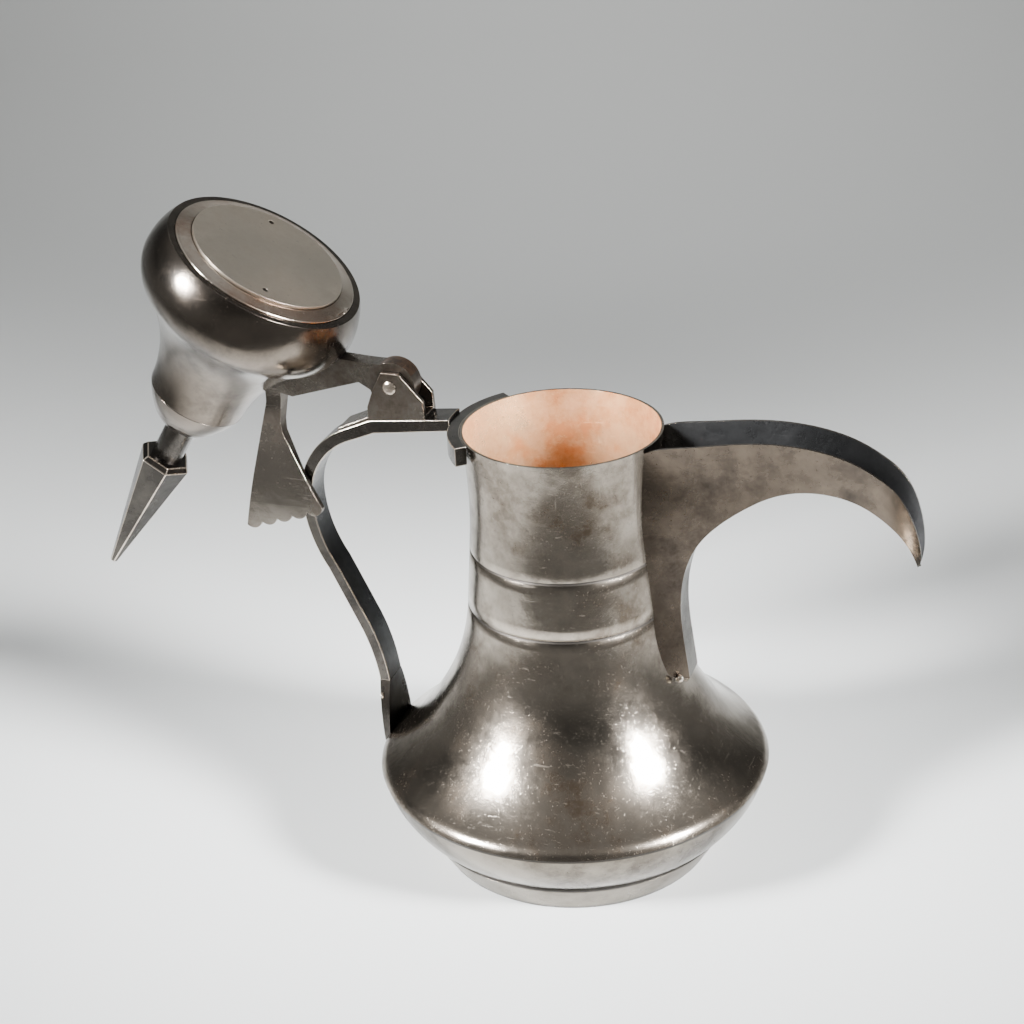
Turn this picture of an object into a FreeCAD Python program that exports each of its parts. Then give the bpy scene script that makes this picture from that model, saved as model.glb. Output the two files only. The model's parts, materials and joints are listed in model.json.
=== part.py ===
"""Dallah coffee pot of sheet metal: bellied body, waisted neck, open beak spout, flat bar handle
and a tall hollow lid that turns back on a riveted hinge. Millimetres, +Z up, +X towards the spout.
The origin is on the pot's axis, in the plane that the foot stands on."""
import FreeCAD, Part
import math
import os
import Sketcher
from FreeCAD import Placement, Rotation, Vector

document = FreeCAD.newDocument("dallah")
sheet = document.addObject("Spreadsheet::Sheet", "Dims")

# name, millimetres or degrees, what it is
DIMENSIONS = [
    ("wall", 0.9, "sheet thickness of the body, neck and lid"),
    ("girth_radius", 65.0, "widest radius, at the seam between bowl and shoulder"),
    ("girth_height", 31.5, "height of that seam"),
    ("girth_turn", 6.5, "radius with which the shoulder turns down to the seam"),
    ("turn_width", 2.8, "how far the turned edge runs in from the girth"),
    ("turn_height", 3.6, "how far the turned edge rises"),
    ("flare_radius", 45.0, "shoulder radius at its knee, where the curve is tightest"),
    ("flare_height", 54.0, "height of that knee"),
    ("flare_low_curve", 62.0, "curve of the shoulder below the knee"),
    ("flare_high_curve", 76.0, "curve of the shoulder above the knee"),
    ("bowl_radius", 55.4, "radius at the bottom edge of the bowl"),
    ("bowl_height", 14.4, "height of that edge"),
    ("bowl_curve", 38.0, "curve of the bowl's side"),
    ("bowl_lip", 8.0, "width of the flange under the base plate"),
    ("foot_radius", 46.0, "outer radius of the foot where it stands"),
    ("foot_top_radius", 52.6, "outer radius of the foot at its top"),
    ("foot_height", 10.9, "height of the foot ring"),
    ("foot_wall", 1.8, "thickness of the foot ring"),
    ("wire_radius", 1.2, "radius of the bead wire between foot and bowl"),
    ("plate_radius", 49.0, "radius of the base plate"),
    ("band_low_radius", 32.6, "neck band's outer radius at its lower edge"),
    ("band_low_height", 90.3, "height of the lower scribed groove"),
    ("band_top_radius", 31.0, "neck band's outer radius at its upper edge"),
    ("band_top_height", 109.7, "height of the upper scribed groove"),
    ("groove_depth", 0.45, "depth of the two scribed grooves"),
    ("rim_radius", 31.9, "outer radius of the mouth"),
    ("rim_height", 149.3, "height of the mouth"),
    ("neck_curve", 165.0, "curve of the waisted neck"),
    ("hole_radius", 2.0, "radius of a pouring hole"),
    ("hole_spacing", 6.0, "distance from the middle pouring hole to those round it"),
    ("hole_height", 121.0, "height of the middle pouring hole"),
    ("collar_thickness", 4.0, "radial thickness of the collar round the back of the mouth"),
    ("collar_height", 6.2, "height of the collar"),
    ("collar_angle", 82.0, "angle that the collar spans"),
    ("bar_width", 10.4, "width of the handle's flat bar"),
    ("bar_thickness", 3.8, "thickness of the handle's flat bar"),
    ("arm_rise", 1.5, "top of the handle's arm above the mouth, at the collar"),
    ("arm_drop", 2.9, "fall of the arm from the collar to its first bend"),
    ("bend_reach", 62.8, "distance from the axis to the arm's first bend"),
    ("crook_reach", 74.0, "distance from the axis to the arm's second bend"),
    ("crook_drop", 4.7, "fall from the first bend to the second"),
    ("back_reach", 89.3, "distance from the axis to the back of the grip"),
    ("back_drop", 31.3, "drop from the mouth to where the grip reaches furthest back"),
    ("crook_curve", 27.0, "curve of the bend at the top of the grip"),
    ("grip_high_reach", 82.0, "distance from the axis to the start of the straight grip"),
    ("grip_high_drop", 56.3, "drop from the mouth to that start"),
    ("grip_high_curve", 51.0, "curve of the grip above the straight stretch"),
    ("grip_low_reach", 73.2, "distance from the axis to the end of the straight grip"),
    ("grip_low_drop", 75.3, "drop from the mouth to that end"),
    ("grip_low_curve", 70.0, "curve of the grip below the straight stretch"),
    ("palm_reach", 66.8, "distance from the axis to the top of the handle's foot"),
    ("palm_height", 52.0, "height of the top of the handle's foot"),
    ("palm_width", 20.4, "width of the handle's foot where it is brazed to the shoulder"),
    ("palm_tip", 1.9, "thickness of the handle's foot at the shoulder"),
    ("pivot_reach", 54.9, "distance from the axis to the hinge pin"),
    ("pivot_rise", 10.5, "height of the hinge pin above the mouth"),
    ("pin_radius", 1.5, "radius of the hinge pin"),
    ("pin_head_radius", 2.2, "radius of the pin's riveted heads"),
    ("pin_head_height", 0.7, "height of the pin's riveted heads"),
    ("fit_gap", 0.03, "gap between the pin and the ears that hold it"),
    ("running_gap", 0.06, "gap between the pin and the knuckle that turns on it"),
    ("side_gap", 0.25, "gap between the knuckle and each ear"),
    ("ear_thickness", 1.7, "thickness of the hinge bracket's ears"),
    ("ear_top", 4.8, "top of the ears above the pin"),
    ("ear_front", 11.2, "front of the ears from the pin"),
    ("ear_back", 8.2, "back of the ears from the pin"),
    ("strip_thickness", 1.2, "thickness of the bracket's strip on the arm"),
    ("knuckle_radius", 7.7, "radius of the lid arm's knuckle"),
    ("sheet_metal", 1.0, "thickness of the spout's sheet"),
    ("sole_width", 10.4, "width of the spout's flat sole"),
    ("cheek_width", 22.2, "width across the spout's cheeks at the mouth"),
    ("spout_reach", 112.5, "distance from the axis to the spout's furthest point"),
    ("lid_angle", 148.0, "how far the lid is turned back from closed"),
    ("seat_gap", 0.2, "gap between the closed lid and the mouth"),
    ("plug_depth", 2.4, "depth of the stepped plug under the lid's seat"),
    ("plug_gap", 0.55, "gap between the plug and the inside of the mouth"),
    ("disc_radius", 25.4, "radius of the plug's flat disc"),
    ("disc_thickness", 1.4, "thickness of that disc"),
    ("vent_radius", 0.9, "radius of the solder vents in the disc"),
    ("vent_circle", 20.8, "radius of the circle that the vents stand on"),
    ("skirt_radius", 32.8, "outer radius of the lid at its seat"),
    ("skirt_curve", 24.0, "curve of the lid between its seat and its widest place"),
    ("bulge_radius", 36.2, "widest radius of the lid"),
    ("bulge_height", 12.1, "height of the widest place above the seat"),
    ("bulge_curve", 14.5, "curve of the lid above its widest place"),
    ("haunch_radius", 31.1, "lid radius where the bulge turns into the bell"),
    ("haunch_height", 22.4, "height of that place above the seat"),
    ("bell_curve", 50.0, "curve of the bell's hollow side"),
    ("crown_radius", 16.4, "lid radius at the seam under the crown"),
    ("crown_height", 55.9, "height of that seam above the seat"),
    ("crown_neck", 12.6, "radius of the crown at its knee"),
    ("crown_knee", 7.7, "height of that knee above the seam"),
    ("crown_rise", 14.3, "height of the crown"),
    ("crown_low_curve", 30.0, "curve of the crown below its knee"),
    ("crown_high_curve", 15.0, "curve of the crown above its knee"),
    ("stem_radius", 5.1, "radius of the finial's stem"),
    ("stem_length", 13.4, "length of the stem between the crown and the spike"),
    ("stem_root", 3.0, "length of the stem inside the crown"),
    ("spike_radius", 9.2, "corner radius of the six-sided spike where it is widest"),
    ("spike_under", 1.8, "height of that place above the spike's flat underside"),
    ("spike_tip", 1.3, "corner radius of the spike at its tip"),
    ("spike_length", 50.5, "length of the spike"),
    ("thumb_lean", 148.0, "turn of the thumb piece, drawn hanging, into the closed lid's frame"),
    ("thumb_root", 5.0, "width of the thumb piece at its root"),
    ("thumb_width", 29.0, "width of the thumb piece along its scalloped end"),
    ("thumb_length", 43.6, "length of the thumb piece on its longer side"),
    ("thumb_edge", 1.0, "thickness of the thumb piece at that end"),
    ("thumb_offset", 8.2, "how far its end stands to the side, to pass the handle"),
]


class Size:
    """A size that carries its number together with the expression that gives it."""

    def __init__(self, value, text):
        self.value = value
        self.text = text

    def joined(self, sign, other, value):
        return Size(value, "(%s %s %s)" % (self.text, sign, other.text))

    def __add__(self, other):
        other = as_size(other)
        return self.joined("+", other, self.value + other.value)

    def __sub__(self, other):
        other = as_size(other)
        return self.joined("-", other, self.value - other.value)

    def __mul__(self, other):
        other = as_size(other)
        return self.joined("*", other, self.value * other.value)

    def __truediv__(self, other):
        other = as_size(other)
        return self.joined("/", other, self.value / other.value)

    def __neg__(self):
        return Size(-self.value, "(-1 * %s)" % self.text)


def as_size(number):
    """Sizes stay as they are, and a plain number becomes one."""
    return number if isinstance(number, Size) else Size(float(number), "%.6f" % number)


class Dimensions:
    """The driving sizes, by name."""


dims = Dimensions()
for row, (name, number, meaning) in enumerate(DIMENSIONS, start=1):
    sheet.set("A%d" % row, meaning)
    sheet.set("B%d" % row, str(number))
    sheet.setAlias("B%d" % row, name)
    setattr(dims, name, Size(number, "Dims.%s" % name))
document.recompute()

ZERO = as_size(0)
LINE = None
parts_out = []


def new_body(label):
    """An empty body with a name."""
    body = document.addObject("PartDesign::Body", label)
    body.Label = label
    return body


def plane_of(body, role):
    """One of the body's own origin planes."""
    return [item for item in body.Origin.OriginFeatures if item.Role == role][0]


def new_sketch(body, label, role="XZ_Plane"):
    """An empty sketch on one of the body's planes."""
    sketch = body.newObject("Sketcher::SketchObject", label)
    sketch.AttachmentSupport = [(plane_of(body, role), "")]
    sketch.MapMode = "FlatFace"
    return sketch


def bind(sketch, index, size):
    """Ties a constraint to the sheet."""
    sketch.setExpression("Constraints[%d]" % index, size.text)


def place_point(sketch, geometry, end, x, y):
    """Holds one end of an edge at x, y from the sketch's origin."""
    for kind, size in (("DistanceX", x), ("DistanceY", y)):
        index = sketch.addConstraint(Sketcher.Constraint(kind, -1, 1, geometry, end, size.value))
        bind(sketch, index, size)


def arc_between(start, end, radius):
    """An arc from start to end: it bulges to the right of the way it goes if radius is positive."""
    chord = end - start
    half = chord.Length / 2
    reach = math.sqrt(radius * radius - half * half)
    left = Vector(-chord.y, chord.x, 0).normalize()
    side = 1 if radius > 0 else -1
    centre = (start + end) * 0.5 + left * (reach * side)
    circle = Part.Circle(centre, Vector(0, 0, 1), abs(radius))
    first = math.atan2(start.y - centre.y, start.x - centre.x)
    last = math.atan2(end.y - centre.y, end.x - centre.x)
    if side < 0:
        first, last = last, first
    return Part.ArcOfCircle(circle, first, last)


def outline(sketch, corners):
    """A closed outline. Each corner is (x, y, bend): bend is the radius of the edge that leaves it,
    positive where it bulges to the right of the way it goes, or LINE."""
    corners = [(as_size(x), as_size(y), bend) for x, y, bend in corners]
    spots = [Vector(x.value, y.value, 0) for x, y, bend in corners]
    edges = []
    for number, (x, y, bend) in enumerate(corners):
        start = spots[number]
        end = spots[(number + 1) % len(spots)]
        if bend is LINE:
            edges.append((sketch.addGeometry(Part.LineSegment(start, end)), 1, 2))
            continue
        index = sketch.addGeometry(arc_between(start, end, bend.value))
        edges.append((index, 1, 2) if bend.value > 0 else (index, 2, 1))
        size = bend if bend.value > 0 else -bend
        limit = sketch.addConstraint(Sketcher.Constraint("Radius", index, size.value))
        bind(sketch, limit, size)
    for number, (index, start, end) in enumerate(edges):
        following = edges[(number + 1) % len(edges)]
        sketch.addConstraint(Sketcher.Constraint("Coincident", index, end, following[0], following[1]))
        place_point(sketch, index, start, corners[number][0], corners[number][1])


def circle(sketch, x, y, radius):
    """A circle with its centre and radius tied to the sheet."""
    index = sketch.addGeometry(Part.Circle(Vector(x.value, y.value, 0), Vector(0, 0, 1), radius.value))
    limit = sketch.addConstraint(Sketcher.Constraint("Radius", index, radius.value))
    bind(sketch, limit, radius)
    place_point(sketch, index, 3, x, y)


def turned(label, corners, angle=None):
    """A body turned about its Z axis from a section in its XZ plane."""
    body = new_body(label)
    sketch = new_sketch(body, label + "_section")
    outline(sketch, corners)
    feature = body.newObject("PartDesign::Revolution", label + "_turned")
    feature.Profile = sketch
    feature.ReferenceAxis = (sketch, ["V_Axis"])
    feature.Angle = 360
    if angle is not None:
        feature.Midplane = True
        feature.setExpression("Angle", angle.text)
    return body


def padded(body, label, corners, width):
    """A pad of an outline in the XZ plane, half of its width to each side."""
    sketch = new_sketch(body, label + "_outline")
    outline(sketch, corners)
    return pad_of(body, label, sketch, width)


def pad_of(body, label, sketch, width):
    """A pad of a finished sketch, half of its width to each side."""
    pad = body.newObject("PartDesign::Pad", label + "_pad")
    pad.Profile = sketch
    pad.Midplane = True
    pad.setExpression("Length", width.text)
    return pad


def pocketed(body, label, sketch, width):
    """A pocket of a finished sketch, half of its width to each side."""
    pocket = body.newObject("PartDesign::Pocket", label + "_pocket")
    pocket.Profile = sketch
    pocket.Midplane = True
    pocket.setExpression("Length", width.text)
    return pocket


def cut(label, base, tool):
    """What is left of base when tool is taken away."""
    result = document.addObject("Part::Cut", label)
    result.Label = label
    result.Base = base
    result.Tool = tool
    return result


def keep(item, group=None):
    """Marks a sub-part for writing, with the frame that it is placed in."""
    parts_out.append((item, group))
    return item


# ---------------------------------------------------------------- foot and bowl
bead_height = dims.foot_height + dims.wire_radius * 2
keep(turned("foot_ring", [
    (dims.foot_radius, ZERO, LINE),
    (dims.foot_top_radius, dims.foot_height, LINE),
    (dims.foot_top_radius - dims.foot_wall * 2.5, dims.foot_height, LINE),
    (dims.foot_top_radius - dims.foot_wall * 2.5, dims.foot_height - dims.foot_wall * 0.6, LINE),
    (dims.foot_top_radius - dims.foot_wall * 1.4, dims.foot_height - dims.foot_wall * 0.6, LINE),
    (dims.foot_radius - dims.foot_wall, ZERO, LINE),
]))

wire_middle = dims.foot_top_radius - dims.wire_radius * 0.2
keep(turned("foot_wire", [
    (wire_middle, dims.foot_height, dims.wire_radius * 1.05),
    (wire_middle, bead_height, LINE),
    (wire_middle - dims.wire_radius * 1.5, bead_height, LINE),
    (wire_middle - dims.wire_radius * 1.5, dims.foot_height, LINE),
]))

keep(turned("lower_bowl", [
    (dims.girth_radius, dims.girth_height, LINE),
    (dims.girth_radius - dims.wall, dims.girth_height, -dims.bowl_curve),
    (dims.bowl_radius - dims.wall * 0.8, dims.bowl_height + dims.wall * 0.6, LINE),
    (wire_middle - dims.wire_radius, bead_height + dims.wall, LINE),
    (dims.plate_radius - dims.bowl_lip, bead_height + dims.wall, LINE),
    (dims.plate_radius - dims.bowl_lip, bead_height, LINE),
    (wire_middle - dims.wire_radius * 0.5, bead_height, LINE),
    (dims.bowl_radius, dims.bowl_height, dims.bowl_curve),
]))

plate_height = bead_height + dims.wall
keep(turned("base_plate", [
    (ZERO, plate_height, LINE),
    (dims.plate_radius, plate_height, LINE),
    (dims.plate_radius, plate_height + dims.wall, LINE),
    (ZERO, plate_height + dims.wall, LINE),
]))

# ---------------------------------------------------------------- shoulder, band and neck
turn_radius = dims.girth_radius - dims.turn_width
turn_top = dims.girth_height + dims.turn_height
slant = dims.wall * 0.7
shoulder_outside = [
    (dims.girth_radius, dims.girth_height, dims.girth_turn),
    (turn_radius, turn_top, -dims.flare_low_curve),
    (dims.flare_radius, dims.flare_height, -dims.flare_high_curve),
    (dims.band_low_radius, dims.band_low_height - dims.groove_depth, LINE),
    (dims.band_low_radius - dims.groove_depth, dims.band_low_height, LINE),
]
keep(turned("shoulder", shoulder_outside + [
    (dims.band_low_radius - dims.wall, dims.band_low_height, dims.flare_high_curve + dims.wall),
    (dims.flare_radius - slant, dims.flare_height - slant, dims.flare_low_curve + dims.wall),
    (turn_radius - slant, turn_top - slant, dims.wall - dims.girth_turn),
    (dims.girth_radius - dims.wall, dims.girth_height, LINE),
]))

keep(turned("neck_band", [
    (dims.band_low_radius - dims.groove_depth, dims.band_low_height, LINE),
    (dims.band_low_radius, dims.band_low_height + dims.groove_depth, LINE),
    (dims.band_top_radius, dims.band_top_height - dims.groove_depth, LINE),
    (dims.band_top_radius - dims.groove_depth, dims.band_top_height, LINE),
    (dims.band_top_radius - dims.wall, dims.band_top_height, LINE),
    (dims.band_low_radius - dims.wall, dims.band_low_height, LINE),
]))

neck_tube = keep(turned("neck_tube", [
    (dims.band_top_radius - dims.groove_depth, dims.band_top_height, LINE),
    (dims.band_top_radius, dims.band_top_height + dims.groove_depth, -dims.neck_curve),
    (dims.rim_radius, dims.rim_height, LINE),
    (dims.rim_radius - dims.wall, dims.rim_height, dims.neck_curve + dims.wall),
    (dims.band_top_radius - dims.wall, dims.band_top_height, LINE),
]))

HOLES_ROUND = 6
hole_sketch = new_sketch(neck_tube, "pouring_holes", "YZ_Plane")
circle(hole_sketch, ZERO, dims.hole_height, dims.hole_radius)
for number in range(HOLES_ROUND):
    turn = math.radians(360 * number / HOLES_ROUND)
    across = dims.hole_spacing * math.cos(turn)
    height = dims.hole_height + dims.hole_spacing * math.sin(turn)
    circle(hole_sketch, across, height, dims.hole_radius)
document.recompute()
plain_volume = neck_tube.Shape.Volume
hole_pocket = neck_tube.newObject("PartDesign::Pocket", "pouring_holes_pocket")
hole_pocket.Profile = hole_sketch
hole_pocket.Reversed = True
hole_pocket.setExpression("Length", (dims.rim_radius * 2).text)
document.recompute()
one_hole = math.pi * dims.hole_radius.value ** 2 * dims.wall.value
assert plain_volume - neck_tube.Shape.Volume > one_hole * HOLES_ROUND

# What lies inside the outer face of the shoulder, band and neck: it trims what is brazed to them.
pot_mould = turned("pot_mould", [
    (ZERO, dims.girth_height, LINE),
    (dims.girth_radius, dims.girth_height, dims.girth_turn),
    (turn_radius, turn_top, -dims.flare_low_curve),
    (dims.flare_radius, dims.flare_height, -dims.flare_high_curve),
    (dims.band_low_radius, dims.band_low_height - dims.groove_depth, LINE),
    (dims.band_low_radius, dims.band_low_height + dims.groove_depth, LINE),
    (dims.band_top_radius, dims.band_top_height - dims.groove_depth, LINE),
    (dims.band_top_radius, dims.band_top_height + dims.groove_depth, -dims.neck_curve),
    (dims.rim_radius, dims.rim_height, LINE),
    (dims.rim_radius, dims.rim_height + dims.pin_head_radius, LINE),
    (ZERO, dims.rim_height + dims.pin_head_radius, LINE),
])

# ---------------------------------------------------------------- collar and handle
collar_radius = dims.rim_radius + dims.collar_thickness
keep(turned("rim_collar", [
    (-collar_radius, dims.rim_height, LINE),
    (-dims.rim_radius - dims.fit_gap, dims.rim_height, LINE),
    (-dims.rim_radius - dims.fit_gap, dims.rim_height - dims.collar_height, LINE),
    (-collar_radius, dims.rim_height - dims.collar_height, LINE),
], dims.collar_angle))

arm_top = dims.rim_height + dims.arm_rise
back_z = dims.rim_height - dims.back_drop
grip_high_z = dims.rim_height - dims.grip_high_drop
grip_low_z = dims.rim_height - dims.grip_low_drop
bend_top = arm_top - dims.arm_drop
crook_top = bend_top - dims.crook_drop
thick = dims.bar_thickness
handle = keep(new_body("handle"))
padded(handle, "handle", [
    (-dims.rim_radius, arm_top, LINE),
    (-dims.bend_reach, bend_top, LINE),
    (-dims.crook_reach, crook_top, dims.crook_curve),
    (-dims.back_reach, back_z, dims.grip_high_curve),
    (-dims.grip_high_reach, grip_high_z, LINE),
    (-dims.grip_low_reach, grip_low_z, -dims.grip_low_curve),
    (-dims.palm_reach, dims.palm_height, LINE),
    (-dims.palm_reach + thick * 0.95, dims.palm_height, dims.grip_low_curve),
    (-dims.grip_low_reach + thick * 0.93, grip_low_z + thick * 0.3, LINE),
    (-dims.grip_high_reach + thick * 0.95, grip_high_z + thick * 0.2, thick - dims.grip_high_curve),
    (-dims.back_reach + thick, back_z, thick - dims.crook_curve),
    (-dims.crook_reach + thick * 0.6, crook_top - thick * 0.95, LINE),
    (-dims.bend_reach + thick * 0.3, bend_top - thick * 1.15, LINE),
    (-dims.rim_radius, arm_top - thick, LINE),
], dims.bar_width)
collar_round = new_sketch(handle, "collar_round", "XY_Plane")
circle(collar_round, ZERO, ZERO, collar_radius)
collar_cut = handle.newObject("PartDesign::Pocket", "collar_cut")
collar_cut.Profile = collar_round
collar_cut.Type = "ThroughAll"
collar_cut.Midplane = True

palm_side = new_body("palm_side")
padded(palm_side, "palm_side", [
    (-dims.palm_reach, dims.palm_height, LINE),
    (-dims.palm_reach + thick * 0.6, dims.girth_height, LINE),
    (-dims.palm_reach + thick * 0.6 + dims.palm_tip, dims.girth_height, LINE),
    (-dims.palm_reach + thick * 0.95, dims.palm_height, LINE),
], dims.palm_width * 2)
palm_front = new_body("palm_front")
palm_sketch = new_sketch(palm_front, "palm_front_outline", "YZ_Plane")
outline(palm_sketch, [
    (dims.bar_width / 2, dims.palm_height, LINE),
    (-dims.bar_width / 2, dims.palm_height, dims.palm_width * 3),
    (-dims.palm_width / 2, dims.girth_height, LINE),
    (dims.palm_width / 2, dims.girth_height, dims.palm_width * 3),
])
pad_of(palm_front, "palm_front", palm_sketch, dims.palm_reach * 3)
palm = document.addObject("Part::MultiCommon", "palm")
palm.Shapes = [palm_side, palm_front]
keep(cut("handle_foot", palm, pot_mould))

# ---------------------------------------------------------------- hinge bracket and pin
pivot_x = -dims.pivot_reach
pivot_z = dims.rim_height + dims.pivot_rise
arm_slope = dims.arm_drop / (dims.bend_reach - dims.rim_radius)
tongue_slope = dims.crook_drop / (dims.crook_reach - dims.bend_reach)
front_x = pivot_x + dims.ear_front
front_foot = arm_top - arm_slope * (dims.pivot_reach - dims.ear_front - dims.rim_radius)
bracket = keep(new_body("hinge_bracket"))
padded(bracket, "hinge_bracket", [
    (front_x, front_foot, LINE),
    (front_x - 0.4, front_foot + 6.2, LINE),
    (pivot_x + 3.2, pivot_z + dims.ear_top, LINE),
    (pivot_x - 2.7, pivot_z + dims.ear_top, LINE),
    (pivot_x - dims.ear_back + 2.4, pivot_z - 0.9, LINE),
    (pivot_x - dims.ear_back, pivot_z - 7.2, LINE),
    (pivot_x - dims.ear_back, bend_top + dims.strip_thickness, LINE),
    (-dims.crook_reach, crook_top + dims.strip_thickness, LINE),
    (-dims.crook_reach, crook_top, LINE),
    (-dims.bend_reach, bend_top, LINE),
], dims.bar_width)
gap_sketch = new_sketch(bracket, "ear_gap")
strip_front = front_foot + dims.strip_thickness
outline(gap_sketch, [
    (front_x + 1, strip_front + arm_slope, LINE),
    (front_x + 1, pivot_z + dims.ear_top * 2, LINE),
    (-dims.crook_reach, pivot_z + dims.ear_top * 2, LINE),
    (-dims.crook_reach, bend_top + dims.strip_thickness, LINE),
    (-dims.bend_reach, bend_top + dims.strip_thickness, LINE),
])
pocketed(bracket, "ear_gap", gap_sketch, dims.bar_width - dims.ear_thickness * 2)
ear_bore = new_sketch(bracket, "ear_bore")
circle(ear_bore, pivot_x, pivot_z, dims.pin_radius + dims.fit_gap)
pocketed(bracket, "ear_bore", ear_bore, dims.bar_width * 2)

pin = keep(turned("hinge_pin", [
    (ZERO, -dims.bar_width / 2 - dims.pin_head_height, LINE),
    (dims.pin_head_radius * 0.7, -dims.bar_width / 2 - dims.pin_head_height, LINE),
    (dims.pin_head_radius, -dims.bar_width / 2 - dims.pin_head_height * 0.4, LINE),
    (dims.pin_head_radius, -dims.bar_width / 2, LINE),
    (dims.pin_radius, -dims.bar_width / 2, LINE),
    (dims.pin_radius, dims.bar_width / 2, LINE),
    (dims.pin_head_radius, dims.bar_width / 2, LINE),
    (dims.pin_head_radius, dims.bar_width / 2 + dims.pin_head_height * 0.4, LINE),
    (dims.pin_head_radius * 0.7, dims.bar_width / 2 + dims.pin_head_height, LINE),
    (ZERO, dims.bar_width / 2 + dims.pin_head_height, LINE),
]), "pin")

# ---------------------------------------------------------------- spout
# Ribs across a cheek, from the toe to the lip: top edge (or neck side) first, then the edge on the
# sole. Reach and height in millimetres from the axis and the foot; widths are shares of the half.
RIBS = [
    ((33.3, 1.02, 70.4), (41.5, 1.00, 67.5)),
    ((30.9, 1.02, 79.5), (39.9, 1.00, 79.5)),
    ((28.4, 1.02, 91.0), (38.8, 1.00, 91.5)),
    ((26.8, 1.03, 104.0), (39.9, 1.00, 104.0)),
    ((26.0, 1.04, 120.0), (43.9, 1.00, 114.4)),
    ((26.0, 1.05, 136.0), (50.6, 1.00, 122.4)),
    ((29.0, 1.03, 147.3), (59.0, 0.97, 129.0)),
    ((43.0, 0.98, 150.5), (67.4, 0.90, 133.7)),
    ((57.0, 0.91, 152.5), (76.0, 0.82, 135.9)),
    ((72.0, 0.84, 153.1), (85.0, 0.73, 135.7)),
    ((87.0, 0.78, 150.7), (93.6, 0.65, 133.2)),
    ((99.5, 0.74, 144.8), (101.5, 0.54, 128.0)),
    ((108.6, 0.68, 134.8), (107.3, 0.42, 121.9)),
    ((112.5, 0.46, 121.6), (110.2, 0.26, 116.6)),
    ((112.2, 0.20, 114.6), (111.4, 0.13, 113.1)),
]
reach_share = (dims.spout_reach.value - dims.rim_radius.value) / (112.5 - 31.9)
rim_share = dims.rim_height.value / 149.3
half_mouth = dims.cheek_width.value / 2
half_sole = dims.sole_width.value / 2
metal = dims.sheet_metal.value


def rib_point(point, half, side):
    """A rib's end as a vector, on the side given by the sign."""
    reach, share, height = point
    reach = dims.rim_radius.value + (reach - 31.9) * reach_share
    return Vector(reach, side * half * share, height * rim_share)


def swept(label, rails):
    """A solid between four smooth rails, each a list of points in step with the others."""
    steps = [0.0]
    for before, after in zip(rails[0], rails[0][1:]):
        steps.append(steps[-1] + before.distanceToPoint(after))
    edges = []
    for points in rails:
        curve = Part.BSplineCurve()
        curve.interpolate(Points=points, Parameters=steps)
        edges.append(curve.toShape())
    faces = [Part.makeRuledSurface(edges[k], edges[(k + 1) % 4]) for k in range(4)]
    for end in (0, -1):
        corners = [points[end] for points in rails]
        faces.append(Part.makeFilledFace(Part.makePolygon(corners + [corners[0]]).Edges))
    shell = Part.makeShell(faces)
    shell.sewShape()
    solid = Part.makeSolid(shell)
    if solid.Volume < 0:
        solid.reverse()
    feature = document.addObject("Part::Feature", label)
    feature.Shape = solid
    return feature


def cheek(label, side):
    """One side sheet of the spout, trimmed to the neck."""
    inward = Vector(0, -side * metal, 0)
    feet = [rib_point(low, half_sole, side) for top, low in RIBS]
    tops = [rib_point(top, half_mouth, side) for top, low in RIBS]
    rails = [feet, tops, [p + inward for p in tops], [p + inward for p in feet]]
    return cut(label, swept(label + "_sheet", rails), pot_mould)


keep(cheek("spout_cheek_left", 1))
keep(cheek("spout_cheek_right", -1))

sole_rails = [[], [], [], []]
for number, (top, low) in enumerate(RIBS):
    before = rib_point(RIBS[max(number - 1, 0)][1], half_sole, 1)
    after = rib_point(RIBS[min(number + 1, len(RIBS) - 1)][1], half_sole, 1)
    along = Vector(after.x - before.x, 0, after.z - before.z).normalize()
    lift = Vector(-along.z, 0, along.x) * metal
    half = max(rib_point(low, half_sole, 1).y - metal, 0.08)
    middle = rib_point((low[0], 0, low[2]), half_sole, 1)
    right = middle - Vector(0, half, 0)
    left = middle + Vector(0, half, 0)
    for rail, point in zip(sole_rails, (left, left + lift, right + lift, right)):
        rail.append(point)
sole = keep(cut("spout_sole", swept("spout_sole_sheet", sole_rails), pot_mould))

toe_back = rib_point(RIBS[0][0], half_mouth, 1)
toe_front = rib_point(RIBS[0][1], half_sole, 1)
toe_rails = []
for back, front, drop, share in ((1, 0, 0.05, 1.0), (0, 1, 0.05, 1.0), (0, 1, 1.7, 0.86), (1, 0, 1.7, 0.86)):
    corner = toe_back if back else toe_front
    shift = (1 - share) * 8
    spot = Vector(corner.x - shift, corner.y * share, corner.z - drop)
    toe_rails.append([spot, Vector(spot.x, -spot.y, spot.z)])
toe_trimmed = cut("toe_trimmed", swept("spout_toe_cap", toe_rails), pot_mould)
keep(cut("spout_toe", toe_trimmed, sole))

# ---------------------------------------------------------------- lid, drawn closed, seat at zero
dome_outside = [
    (dims.skirt_radius, ZERO, dims.skirt_curve),
    (dims.bulge_radius, dims.bulge_height, dims.bulge_curve),
    (dims.haunch_radius, dims.haunch_height, -dims.bell_curve),
    (dims.crown_radius, dims.crown_height, LINE),
]
plug_radius = dims.rim_radius - dims.wall - dims.plug_gap
keep(turned("lid_dome", dome_outside + [
    (dims.crown_radius - dims.wall, dims.crown_height, dims.bell_curve + dims.wall),
    (dims.haunch_radius - slant, dims.haunch_height - slant, dims.wall - dims.bulge_curve),
    (dims.bulge_radius - dims.wall, dims.bulge_height, dims.wall - dims.skirt_curve),
    (dims.skirt_radius - dims.wall, dims.wall, LINE),
    (plug_radius, dims.wall, LINE),
    (plug_radius, ZERO, LINE),
]), "lid")

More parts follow.
